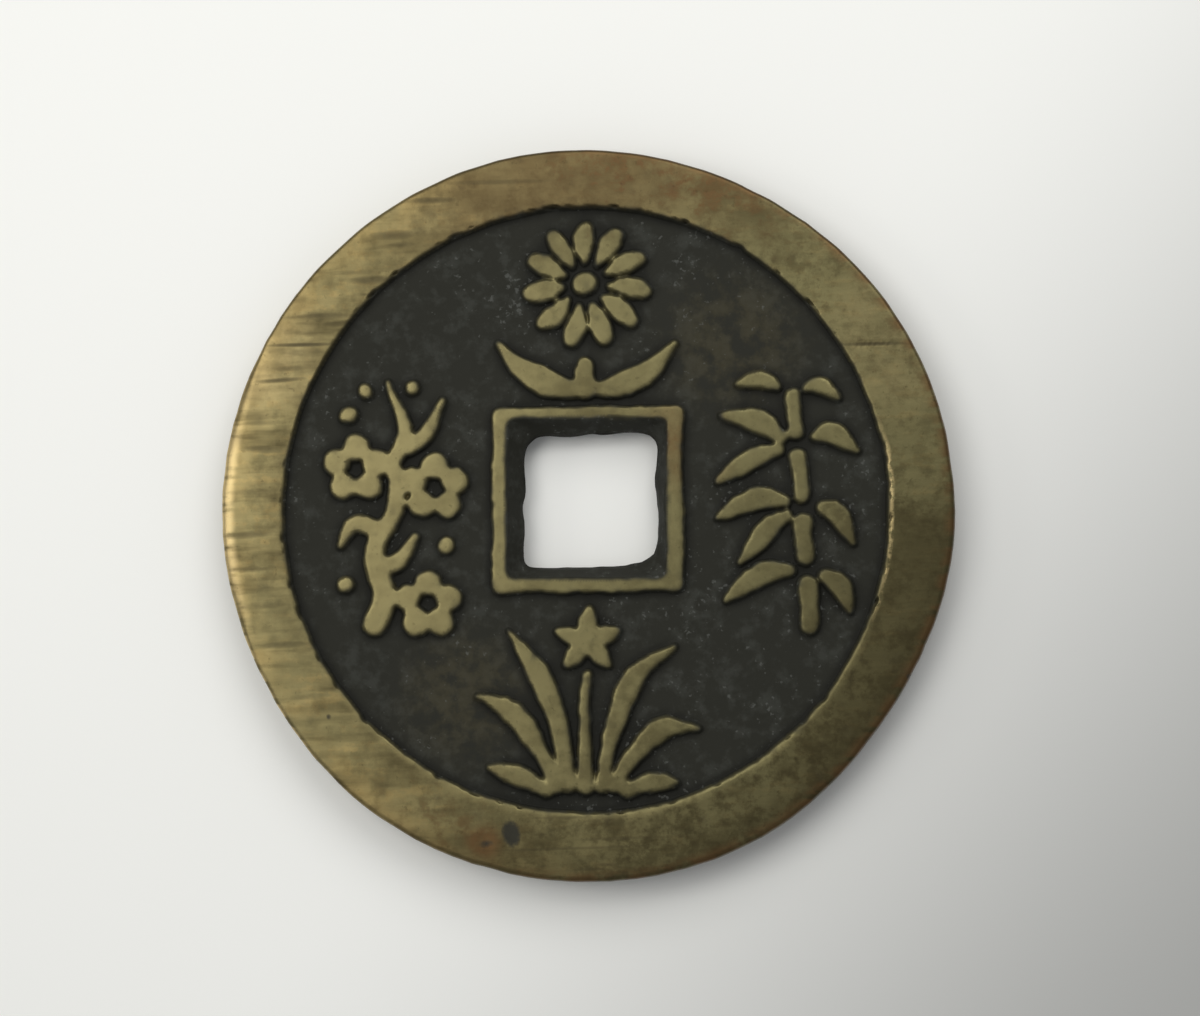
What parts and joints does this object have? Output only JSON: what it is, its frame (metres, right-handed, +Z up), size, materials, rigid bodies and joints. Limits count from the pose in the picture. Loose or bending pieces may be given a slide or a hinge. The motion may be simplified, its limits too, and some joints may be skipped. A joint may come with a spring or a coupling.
{
  "type": "cash coin",
  "caption": "Round cast brass coin with a square centre hole, broad raised rims on both faces and raised plant ornaments in sunken dark fields.",
  "frame": {"origin": "on the ground under the middle of the coin, which lies flat on its back rim", "axes": "+Z up out of the front face, +Y towards the top of the front face, +X to its right"},
  "size_m": [0.037, 0.037, 0.0025],
  "materials": {
    "cast_brass": "worn satin brass on the rims and relief, near-black patina in the sunken fields and the hole"
  },
  "bodies": {
    "root": {"coin": "cast_brass"}
  },
  "joints": []
}
